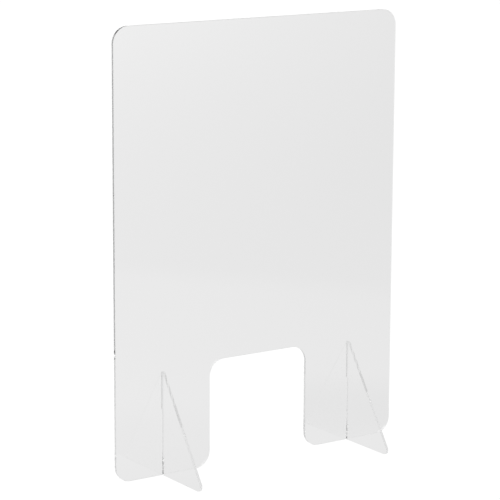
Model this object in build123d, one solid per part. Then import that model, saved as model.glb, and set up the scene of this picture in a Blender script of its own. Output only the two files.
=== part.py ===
from build123d import *
import math
import os

# Free-standing clear acrylic desk privacy panel (counter shield), in millimetres.
# One flat rounded panel with a pass-through at its foot stands on two triangular feet.
# Panel and feet cross at right angles in cross-lap slots: the panel's slots open
# downwards and the feet's slots open upwards, so the panel drops onto the feet.
# Frame: X along the panel, -Y towards the visitor, +Z up, origin on the desk surface
# under the middle of the panel.

# Driving dimensions
PANEL_WIDTH = 609.6          # 24 in
PANEL_HEIGHT = 812.8         # 32 in
SHEET = 5.0                  # sheet thickness of all three pieces
PANEL_RADIUS = 30.0          # every rounded corner of the panel
PASS_WIDTH = 213.0           # pass-through, open at the desk
PASS_HEIGHT = 198.0
FOOT_LENGTH = 254.0          # along the desk, over the rounded tips
FOOT_HEIGHT = 192.0          # desk to the rounded point
FOOT_TIP_RADIUS = 9.0
FOOT_POINT_RADIUS = 6.0
LAP_HEIGHT = 122.0           # where the panel's slot ends and the foot's slot begins
SLOT_PLAY = 0.15             # gap each side of the sheet in a slot
LAP_PLAY = 0.15              # gap above and below the lap height

# Worked out from them
SLOT_WIDTH = SHEET + 2 * SLOT_PLAY
LEG_WIDTH = (PANEL_WIDTH - PASS_WIDTH) / 2
FOOT_X = (PASS_WIDTH + LEG_WIDTH) / 2
OVERRUN = 1.0                # cutters pass the faces they open by this much


def sheet_of(profile):
    """The profile cut from the sheet, centred on the plane that it is drawn in."""
    return extrude(profile, amount=SHEET / 2, both=True)


def panel_profile():
    """Rounded rectangle with the pass-through cut out of its lower edge, drawn in X and Z."""
    left = -PANEL_WIDTH / 2
    inner = -PASS_WIDTH / 2
    with BuildSketch(Plane.XZ) as sketch:
        with BuildLine():
            FilletPolyline(
                (left, 0),
                (inner, 0),
                (inner, PASS_HEIGHT),
                (-inner, PASS_HEIGHT),
                (-inner, 0),
                (-left, 0),
                (-left, PANEL_HEIGHT),
                (left, PANEL_HEIGHT),
                radius=PANEL_RADIUS,
                close=True,
            )
        make_face()
    return sketch.sketch


def panel_slot(x):
    """Cutter for one of the panel's slots: open at the desk, ending at the lap height."""
    height = LAP_HEIGHT + LAP_PLAY + OVERRUN
    cutter = Box(SLOT_WIDTH, SHEET + 2 * OVERRUN, height)
    return cutter.translate((x, 0, height / 2 - OVERRUN))


def panel():
    """The clear sheet with its two foot slots."""
    sheet = sheet_of(panel_profile())
    for x in (-FOOT_X, FOOT_X):
        sheet -= panel_slot(x)
    return sheet


def foot_corners():
    """Sharp corners of the foot's triangle, placed so that the rounded foot has its stated size.

    The slanted edge is the common tangent of the circle at a tip and the circle at the point.
    """
    run = FOOT_LENGTH / 2 - FOOT_TIP_RADIUS
    rise = FOOT_HEIGHT - FOOT_POINT_RADIUS - FOOT_TIP_RADIUS
    narrowing = math.asin((FOOT_TIP_RADIUS - FOOT_POINT_RADIUS) / math.hypot(run, rise))
    slope = math.atan2(rise, run) - narrowing
    tip = run + FOOT_TIP_RADIUS / math.tan(slope / 2)
    return tip, tip * math.tan(slope)


def foot_profile():
    """Isosceles triangle with rounded corners, drawn in Y and Z."""
    tip, point = foot_corners()
    with BuildSketch(Plane.YZ) as sketch:
        with BuildLine():
            FilletPolyline(
                (-tip, 0),
                (tip, 0),
                (0, point),
                radius=[FOOT_TIP_RADIUS, FOOT_TIP_RADIUS, FOOT_POINT_RADIUS],
                close=True,
            )
        make_face()
    return sketch.sketch


def foot(x):
    """One foot, slotted from its point down to the lap height."""
    depth = FOOT_HEIGHT - LAP_HEIGHT + LAP_PLAY + OVERRUN
    slot = Box(SHEET + 2 * OVERRUN, SLOT_WIDTH, depth)
    slot = slot.translate((0, 0, LAP_HEIGHT - LAP_PLAY + depth / 2))
    body = sheet_of(foot_profile()) - slot
    return body.translate((x, 0, 0))


def write(name, shape):
    """One STEP file per piece, named after its node."""
    export_step(shape, os.path.join("parts", name + ".step"))


os.makedirs("parts", exist_ok=True)
write("panel", panel())
write("left_foot", foot(-FOOT_X))
write("right_foot", foot(FOOT_X))
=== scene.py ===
import math

import bmesh
import bpy
from mathutils import Matrix, Vector


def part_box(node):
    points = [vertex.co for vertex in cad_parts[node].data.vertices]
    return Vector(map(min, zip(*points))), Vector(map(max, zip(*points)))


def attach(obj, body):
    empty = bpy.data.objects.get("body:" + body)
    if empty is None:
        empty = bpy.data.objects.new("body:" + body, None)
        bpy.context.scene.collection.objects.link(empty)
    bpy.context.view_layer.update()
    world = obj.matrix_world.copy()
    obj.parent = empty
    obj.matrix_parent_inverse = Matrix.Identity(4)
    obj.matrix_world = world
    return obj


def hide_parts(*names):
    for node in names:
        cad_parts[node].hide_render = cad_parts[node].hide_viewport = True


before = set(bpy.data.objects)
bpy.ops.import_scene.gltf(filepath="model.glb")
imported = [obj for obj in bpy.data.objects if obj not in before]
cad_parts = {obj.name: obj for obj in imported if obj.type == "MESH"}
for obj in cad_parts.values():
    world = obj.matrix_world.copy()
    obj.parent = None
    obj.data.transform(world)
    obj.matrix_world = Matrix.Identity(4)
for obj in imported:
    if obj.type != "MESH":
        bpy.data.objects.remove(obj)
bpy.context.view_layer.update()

# A free-standing clear acrylic desk panel on two clear triangular feet, in metres.
# The three sheets are rebuilt here with fine arcs and polished arrises, at the CAD's sizes.

# Sizes that the CAD boxes don't give
PANEL_RADIUS = 0.030
PASS_WIDTH = 0.213
PASS_HEIGHT = 0.198
FOOT_TIP_RADIUS = 0.009
FOOT_POINT_RADIUS = 0.006
FOOT_HEIGHT = 0.192          # to the rounded point, before the slot cuts its tip off
LAP_HEIGHT = 0.122           # where the panel's slot ends and the foot's slot begins
SLOT_PLAY = 0.00015          # gap on each side of a sheet in a slot
SLOT_ROOT_RADIUS = 0.0006    # the cutter's own radius in the corners of a slot
ARRIS = 0.0001               # fine bevel along every cut edge
ARC_STEP = math.radians(3)   # one facet of a large rounded corner
FACET = 0.0005               # the shortest facet of a small one, longer than the bevel's reach

# Camera
CAMERA_AT = (-2.27085, -3.31221, 1.22539)
CAMERA_YAW = math.radians(34.219)      # right of +Y
CAMERA_PITCH = math.radians(11.754)    # below the horizon
CAMERA_ROLL = math.radians(-0.281)
CAMERA_LENS = 162.51                   # millimetres
CAMERA_CLIP_END = 200.0

# Acrylic
IOR = 1.49
BLACK = (0, 0, 0, 1)         # an absorption that takes every colour alike
PANEL_ABSORPTION = 0.7       # per metre travelled inside
FOOT_ABSORPTION = 0.2
RIM = "cut_edge"             # face attribute, 1 on the cut edges and arrises
CUT_TINT = 0.97              # light kept on the way in and out through cut edges
FACE_ROUGHNESS = 0.006       # at the haziest
CUT_ROUGHNESS = 0.06
WIPE_SCALE = (7, 7, 7)       # haze and waves in the faces
WIPE_DETAIL = 4.0
FOOT_WIPE_SHIFT = (5, 3, 8)  # so that the feet have wipes of their own
FACE_WAVE = 0.00002
RIB_ALONG = 900              # scale of the ribs along the cut
RIB_ACROSS = 30              # and across the sheet's thickness
RIB_DETAIL = 2.0
CUT_RIB = 0.000002

# Light, in linear grey tones
WHITE = 1.04                           # bare backdrop, just past display white
SURROUND = 0.808                       # the studio as it lights and shows through the acrylic
KEY = 2.5                              # the soft light in front and above
KEY_DIRECTION = (-0.10, -0.81, 0.577)
KEY_EDGE = (0.87, 0.97)                # cosines of the angles at its outer and inner edge
LIGHT_BOUNCES = 400                    # light runs along inside the sheets to their far edges

# Floor, with its changes of tone, which are painted light and shade, and where they start and end,
# in metres from the origin
FLOOR_RADIUS = 40.0
FLOOR_SIDES = 96
FLOOR_DROP = 0.0003                    # keeps it clear of the faces that stand on it
LEAN = 0.032                           # painted light falling off: how much paler on the left and darker on the right
LEAN_ENDS = (-0.7, 0.7)
POOL = 0.018                           # painted pool of light: how much paler up to a soft edge on the far right
POOL_DIRECTION = (0.85, 0.63, 0)
POOL_EDGE = (1.35, 1.65)
FAR_GLOW = 0.041                       # how much paler far behind the object
FAR = (1.5, 9.0)
FRONT_SHADE = 0.12                     # how much darker in front of it
FRONT = (-0.9, 0.15)
SHADES = (("left_foot", 0.02), ("right_foot", 0.036))    # soft shade behind each foot
SHADE_CENTRE = Vector((0.10, 0.17, 0))                   # from the foot's corner with the panel
SHADE_EDGE = (0.05, 0.36)
CONTACT_SHADE = 0.12                   # how much darker right under a foot
HAIR = 0.0005                          # the width of a crisp change of tone
FADE = (9.0, 16.0)                     # where the floor fades into the surround


# ---------------------------------------------------------------- outlines

def arc(centre, radius, start, end):
    """Points from one angle to another, the short way round."""
    turn = (end - start + math.pi) % (2 * math.pi) - math.pi
    steps = max(2, min(math.ceil(abs(turn) / ARC_STEP), int(abs(turn) * radius / FACET)))
    angles = [start + turn * k / steps for k in range(steps + 1)]
    return [centre + radius * Vector((math.cos(a), math.sin(a))) for a in angles]


def angle_of(v):
    return math.atan2(v.y, v.x)


def rounded(corners):
    """Points of a closed outline given as (across, up, radius) corners."""
    points = []
    for i, (across, up, radius) in enumerate(corners):
        corner = Vector((across, up))
        if radius == 0:
            points.append(corner)
            continue
        back = (Vector(corners[i - 1][:2]) - corner).normalized()
        ahead = (Vector(corners[(i + 1) % len(corners)][:2]) - corner).normalized()
        half = back.angle(ahead) / 2
        centre = corner + (back + ahead).normalized() * radius / math.sin(half)
        reach = radius / math.tan(half)
        start = angle_of(corner + back * reach - centre)
        end = angle_of(corner + ahead * reach - centre)
        points += arc(centre, radius, start, end)
    return points


def slot_corners(middle, half, root, mouth):
    """A slot's corners in order along +across: lip, root, root, lip."""
    return [
        (middle - half, mouth, 0),
        (middle - half, root, SLOT_ROOT_RADIUS),
        (middle + half, root, SLOT_ROOT_RADIUS),
        (middle + half, mouth, 0),
    ]


def panel_outline(low, high, feet, slot_half):
    """Across is X and up is Z, anticlockwise from the lower left corner."""
    inner = PASS_WIDTH / 2
    root = LAP_HEIGHT + SLOT_PLAY
    return rounded([
        (low.x, low.z, PANEL_RADIUS),
        *slot_corners(feet[0], slot_half, root, low.z),
        (-inner, low.z, PANEL_RADIUS),
        (-inner, PASS_HEIGHT, PANEL_RADIUS),
        (inner, PASS_HEIGHT, PANEL_RADIUS),
        (inner, low.z, PANEL_RADIUS),
        *slot_corners(feet[1], slot_half, root, low.z),
        (high.x, low.z, PANEL_RADIUS),
        (high.x, high.z, PANEL_RADIUS),
        (low.x, high.z, PANEL_RADIUS),
    ])


def foot_outline(low, high, slot_half):
    """Across is Y and up is Z: a triangle with rounded corners, slotted down from its point."""
    run = (high.y - low.y) / 2 - FOOT_TIP_RADIUS
    point_centre = Vector((0, FOOT_HEIGHT - FOOT_POINT_RADIUS))
    rise = point_centre.y - FOOT_TIP_RADIUS
    narrowing = math.asin((FOOT_TIP_RADIUS - FOOT_POINT_RADIUS) / math.hypot(run, rise))
    slope = math.atan2(rise, run) - narrowing
    tip = run + FOOT_TIP_RADIUS / math.tan(slope / 2)
    base = rounded([
        (-tip, low.z, FOOT_TIP_RADIUS),
        (tip, low.z, FOOT_TIP_RADIUS),
        (0, tip * math.tan(slope), 0),
    ])[:-1]
    lip = math.acos(slot_half / FOOT_POINT_RADIUS)
    rear = arc(point_centre, FOOT_POINT_RADIUS, math.pi / 2 - slope, lip)
    front = arc(point_centre, FOOT_POINT_RADIUS, math.pi - lip, math.pi / 2 + slope)
    slot = rounded(slot_corners(0, slot_half, LAP_HEIGHT - SLOT_PLAY, rear[-1].y))[::-1]
    return base + rear[:-1] + slot + front[1:]


# ---------------------------------------------------------------- sheets

def cut_sheet(name, node, outline, to_space, thickness, material):
    """A closed flat sheet with a fine arris on every rim, which stands for a CAD node."""
    bm = bmesh.new()
    near, far = (
        [bm.verts.new(to_space(p, depth)) for p in outline]
        for depth in (-thickness / 2, thickness / 2)
    )
    bm.faces.new(near)
    bm.faces.new(far)
    count = len(outline)
    rims = []
    for i in range(count):
        j = (i + 1) % count
        bm.faces.new((near[i], near[j], far[j], far[i]))
        rims += [bm.edges.get((near[i], near[j])), bm.edges.get((far[i], far[j]))]
    bmesh.ops.recalc_face_normals(bm, faces=bm.faces)
    bmesh.ops.bevel(
        bm, geom=rims, offset=ARRIS, offset_type="OFFSET", segments=1,
        affect="EDGES", clamp_overlap=False,
    )
    rim = bm.faces.layers.float.new(RIM)
    for face in bm.faces:
        face[rim] = float(len(face.verts) == 4)    # the two big faces have many corners
    mesh = bpy.data.meshes.new(name)
    bm.to_mesh(mesh)
    bm.free()
    mesh.materials.append(material)
    piece = bpy.data.objects.new(name, mesh)
    bpy.context.scene.collection.objects.link(piece)
    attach(piece, node)
    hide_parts(node)
    return piece


# ---------------------------------------------------------------- materials

class Tree:
    """Short ways to add and join the nodes of one material or world."""

    def __init__(self, owner):
        owner.use_nodes = True
        self.nodes = owner.node_tree.nodes
        self.link = owner.node_tree.links.new

    def add(self, kind, **inputs):
        node = self.nodes.new("ShaderNode" + kind)
        self.put(node, **inputs)
        return node

    def put(self, node, **inputs):
        """Fill a node's inputs, named with _ for a space, by a value or by another socket."""
        for name, value in inputs.items():
            socket = node.inputs[name.replace("_", " ")]
            if isinstance(value, bpy.types.NodeSocket):
                self.link(value, socket)
            else:
                socket.default_value = value


def acrylic(name, absorption, rib_scale, wipe_shift):
    """Clear cast acrylic: glossy faces with faint wipes and waves, and finely ribbed cut edges.

    The ribs run across the sheet's thickness, so rib_scale has RIB_ACROSS on that axis.
    """
    material = bpy.data.materials.new(name)
    tree = Tree(material)
    place = tree.add("TexCoord").outputs["Object"]
    rim = tree.add("Attribute")
    rim.attribute_name = RIM
    is_cut = rim.outputs["Fac"]

    wipe_place = tree.add("Mapping", Vector=place, Location=wipe_shift, Scale=WIPE_SCALE)
    wipes = tree.add("TexNoise", Vector=wipe_place.outputs["Vector"], Detail=WIPE_DETAIL)
    rib_place = tree.add("Mapping", Vector=place, Scale=rib_scale)
    ribs = tree.add(
        "TexNoise", Vector=rib_place.outputs["Vector"], Scale=1.0, Detail=RIB_DETAIL,
    )

    face_gloss = tree.add("MapRange", Value=wipes.outputs["Fac"], To_Max=FACE_ROUGHNESS)
    cut_gloss = tree.add("MapRange", Value=ribs.outputs["Fac"], To_Max=CUT_ROUGHNESS)
    gloss = tree.add(
        "MapRange", Value=is_cut,
        To_Min=face_gloss.outputs["Result"], To_Max=cut_gloss.outputs["Result"],
    )
    face_bump = tree.add("Bump", Height=wipes.outputs["Fac"], Distance=FACE_WAVE)
    cut_depth = tree.add("MapRange", Value=is_cut, To_Max=CUT_RIB)
    bump = tree.add(
        "Bump", Height=ribs.outputs["Fac"], Distance=cut_depth.outputs["Result"],
        Normal=face_bump.outputs["Normal"],
    )
    tint = tree.add("MapRange", Value=is_cut, To_Min=1.0, To_Max=CUT_TINT)
    tree.put(
        tree.nodes["Principled BSDF"], Base_Color=tint.outputs["Result"],
        Transmission_Weight=1.0, IOR=IOR,
        Roughness=gloss.outputs["Result"], Normal=bump.outputs["Normal"],
    )
    inside = tree.add("VolumeAbsorption", Color=BLACK, Density=absorption)
    tree.put(tree.nodes["Material Output"], Volume=inside.outputs["Volume"])
    return material


def sheets():
    """The panel and its two feet, on the CAD boxes of their nodes."""
    panel_acrylic = acrylic(
        "panel_acrylic", PANEL_ABSORPTION, (RIB_ALONG, RIB_ACROSS, RIB_ALONG), (0, 0, 0),
    )
    foot_acrylic = acrylic(
        "foot_acrylic", FOOT_ABSORPTION, (RIB_ACROSS, RIB_ALONG, RIB_ALONG), FOOT_WIPE_SHIFT,
    )
    panel_low, panel_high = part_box("panel")
    thickness = panel_high.y - panel_low.y
    slot_half = thickness / 2 + SLOT_PLAY
    feet_x = []
    for foot in ("left_foot", "right_foot"):
        low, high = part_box(foot)
        middle = (low.x + high.x) / 2
        feet_x.append(middle)
        cut_sheet(
            foot + "_sheet", foot, foot_outline(low, high, slot_half),
            lambda p, depth, x=middle: Vector((x + depth, p.x, p.y)), high.x - low.x,
            foot_acrylic,
        )
    cut_sheet(
        "panel_sheet", "panel", panel_outline(panel_low, panel_high, feet_x, slot_half),
        lambda p, depth: Vector((p.x, depth, p.y)), thickness, panel_acrylic,
    )


sheets()

# ---------------------------------------------------------------- studio

scene = bpy.context.scene
scene.view_settings.view_transform = "Standard"
scene.cycles.denoising_input_passes = "RGB"    # keeps the thin lines along cut edges smooth
scene.cycles.max_bounces = LIGHT_BOUNCES
scene.cycles.glossy_bounces = LIGHT_BOUNCES
scene.cycles.transmission_bounces = LIGHT_BOUNCES


def seen_bare(tree, tone):
    """White where the camera sees it bare, and the tone where it lights or shows through."""
    path = tree.add("LightPath")
    return tree.add(
        "MapRange", Value=path.outputs["Is Camera Ray"], To_Min=tone, To_Max=WHITE,
    ).outputs["Result"]


def measure(tree, place, direction):
    """How far a place lies along a direction, or the cosine between two directions."""
    node = tree.add("VectorMath")
    node.operation = "DOT_PRODUCT"
    tree.link(place, node.inputs[0])
    node.inputs[1].default_value = direction
    return node.outputs["Value"]


def ramp(tree, value, start, end, low, high, shape):
    """low where the value is at start, high where it is at end, and no further."""
    node = tree.add("MapRange", Value=value, To_Min=low, To_Max=high)
    node.inputs["From Min"].default_value = start
    node.inputs["From Max"].default_value = end
    node.interpolation_type = shape
    return node.outputs["Result"]


def multiply(tree, one, other):
    """The product of two sockets."""
    node = tree.add("Math")
    node.operation = "MULTIPLY"
    tree.link(one, node.inputs[0])
    tree.link(other, node.inputs[1])
    return node.outputs["Value"]


def add_up(tree, values):
    """The sum of a list of sockets."""
    total = values[0]
    for value in values[1:]:
        node = tree.add("Math")
        tree.link(total, node.inputs[0])
        tree.link(value, node.inputs[1])
        total = node.outputs["Value"]
    return total


def surround():
    """An even, soft studio on every side, with one large soft light in front and above."""
    world = bpy.data.worlds.new("surround")
    scene.world = world
    tree = Tree(world)
    towards = measure(tree, tree.add("TexCoord").outputs["Generated"], KEY_DIRECTION)
    tone = ramp(tree, towards, *KEY_EDGE, SURROUND, KEY, "SMOOTHSTEP")
    tree.put(tree.nodes["Background"], Color=seen_bare(tree, tone))


def shade(tree, place, foot, depth):
    """A soft round shade, cut off at the panel's front and at the foot's left face."""
    corner = Vector((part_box(foot)[0].x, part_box("panel")[0].y, 0))
    away = tree.add("VectorMath")
    away.operation = "DISTANCE"
    tree.link(place, away.inputs[0])
    away.inputs[1].default_value = corner + SHADE_CENTRE
    soft = ramp(tree, away.outputs["Value"], *SHADE_EDGE, -depth, 0.0, "SMOOTHSTEP")
    for direction, edge in (((1, 0, 0), corner.x), ((0, 1, 0), corner.y)):
        beyond = ramp(tree, measure(tree, place, direction), edge, edge + HAIR, 0.0, 1.0, "LINEAR")
        soft = multiply(tree, soft, beyond)
    return soft


def contact(tree, place, foot):
    """The painted shade under a foot, which only shows by light that comes down through its edge.
    """
    low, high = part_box(foot)
    dark = None
    for direction, start, end in (((1, 0, 0), low.x, high.x), ((0, 1, 0), low.y, high.y)):
        along = measure(tree, place, direction)
        rise = ramp(tree, along, start, start + HAIR, 0.0, 1.0, "LINEAR")
        fall = ramp(tree, along, end - HAIR, end, 1.0, 0.0, "LINEAR")
        inside = multiply(tree, rise, fall)
        dark = multiply(tree, dark, inside) if dark else inside
    return ramp(tree, dark, 0.0, 1.0, 0.0, -CONTACT_SHADE, "LINEAR")


def floor():
    """A wide floor that glows in soft tones of painted light and shade, seen as white where it is
    bare.
    """
    bm = bmesh.new()
    bmesh.ops.create_circle(bm, cap_ends=True, segments=FLOOR_SIDES, radius=FLOOR_RADIUS)
    mesh = bpy.data.meshes.new("floor")
    bm.to_mesh(mesh)
    bm.free()
    material = bpy.data.materials.new("pale_floor")
    tree = Tree(material)
    place = tree.add("NewGeometry").outputs["Position"]
    behind = measure(tree, place, (math.sin(CAMERA_YAW), math.cos(CAMERA_YAW), 0))
    aside = measure(tree, place, (math.cos(CAMERA_YAW), -math.sin(CAMERA_YAW), 0))
    beyond = measure(tree, place, POOL_DIRECTION)
    # the tone is painted light and shade: falloff to the right, a pool of light, glow far behind,
    # shade in front, and painted shadows behind and under the feet
    tone = add_up(tree, [
        ramp(tree, aside, *LEAN_ENDS, SURROUND + LEAN, SURROUND - LEAN, "LINEAR"),
        ramp(tree, beyond, *POOL_EDGE, POOL, 0.0, "SMOOTHSTEP"),
        ramp(tree, behind, *FAR, 0.0, FAR_GLOW, "SMOOTHSTEP"),
        ramp(tree, behind, *FRONT, -FRONT_SHADE, 0.0, "SMOOTHSTEP"),
        *(shade(tree, place, foot, depth) for foot, depth in SHADES),
        *(contact(tree, place, foot) for foot, depth in SHADES),
    ])
    away = tree.add("VectorMath")
    away.operation = "LENGTH"
    tree.link(place, away.inputs[0])
    tone = ramp(tree, away.outputs["Value"], *FADE, tone, SURROUND, "SMOOTHSTEP")
    glow = tree.add("Emission", Color=seen_bare(tree, tone))
    tree.put(tree.nodes["Material Output"], Surface=glow.outputs["Emission"])
    mesh.materials.append(material)
    piece = bpy.data.objects.new("floor", mesh)
    piece.location.z = -FLOOR_DROP
    scene.collection.objects.link(piece)


def camera():
    """The camera, turned by its yaw, pitch and roll from looking along +Y."""
    lens = bpy.data.cameras.new("camera")
    lens.lens = CAMERA_LENS
    lens.clip_end = CAMERA_CLIP_END
    piece = bpy.data.objects.new("camera", lens)
    scene.collection.objects.link(piece)
    piece.matrix_world = (
        Matrix.Translation(CAMERA_AT)
        @ Matrix.Rotation(-CAMERA_YAW, 4, "Z")
        @ Matrix.Rotation(math.pi / 2 - CAMERA_PITCH, 4, "X")
        @ Matrix.Rotation(-CAMERA_ROLL, 4, "Z")
    )
    scene.camera = piece


surround()
floor()
camera()
